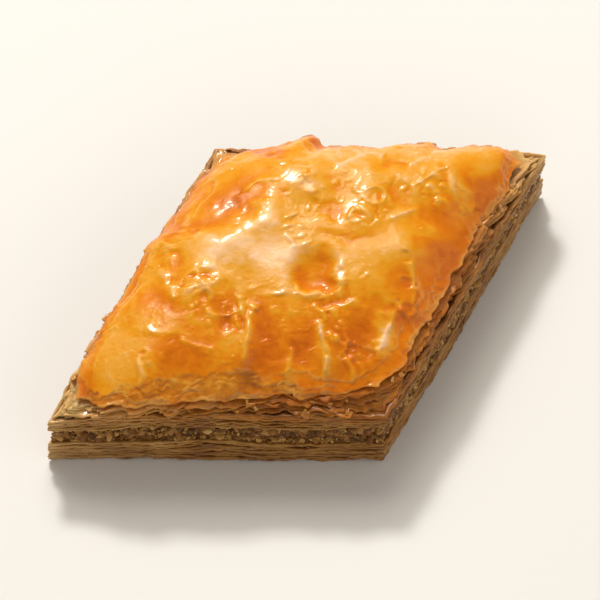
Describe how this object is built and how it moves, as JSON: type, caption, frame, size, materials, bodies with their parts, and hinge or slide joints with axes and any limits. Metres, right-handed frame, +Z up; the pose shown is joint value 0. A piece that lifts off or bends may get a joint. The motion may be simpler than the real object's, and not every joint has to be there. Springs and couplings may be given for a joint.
{
  "type": "baklava piece",
  "caption": "Lozenge-cut slice of layered syrup-soaked pastry with a chopped-nut layer and a puffed, glossy, wrinkled golden crust; rests flat, for serving on a plate, tray or display.",
  "frame": {"origin": "Under the middle of the piece's bounding box, on the flat face it rests on", "axes": "+Z up out of the crust; +X along the two straight cut sides (the longest extent, towards the right acute tip); +Y from the front cut side to the back one"},
  "size_m": [0.0944, 0.0604, 0.0275],
  "materials": {
    "soaked_pastry": "Thin pastry leaves soaked in syrup: olive-tan to amber brown, wet, fine horizontal layering at the cut sides",
    "chopped_nuts": "Finely chopped nuts bound with syrup: olive brown with pale green-cream and tan bits, damp",
    "glazed_crust": "Baked buttered pastry under a clear syrup glaze: golden to deep orange with pale peach ridges, high gloss, wrinkled and blistered"
  },
  "bodies": {
    "root": {"base_pastry": "soaked_pastry", "nut_filling": "chopped_nuts", "top_pastry": "glazed_crust"}
  },
  "joints": []
}
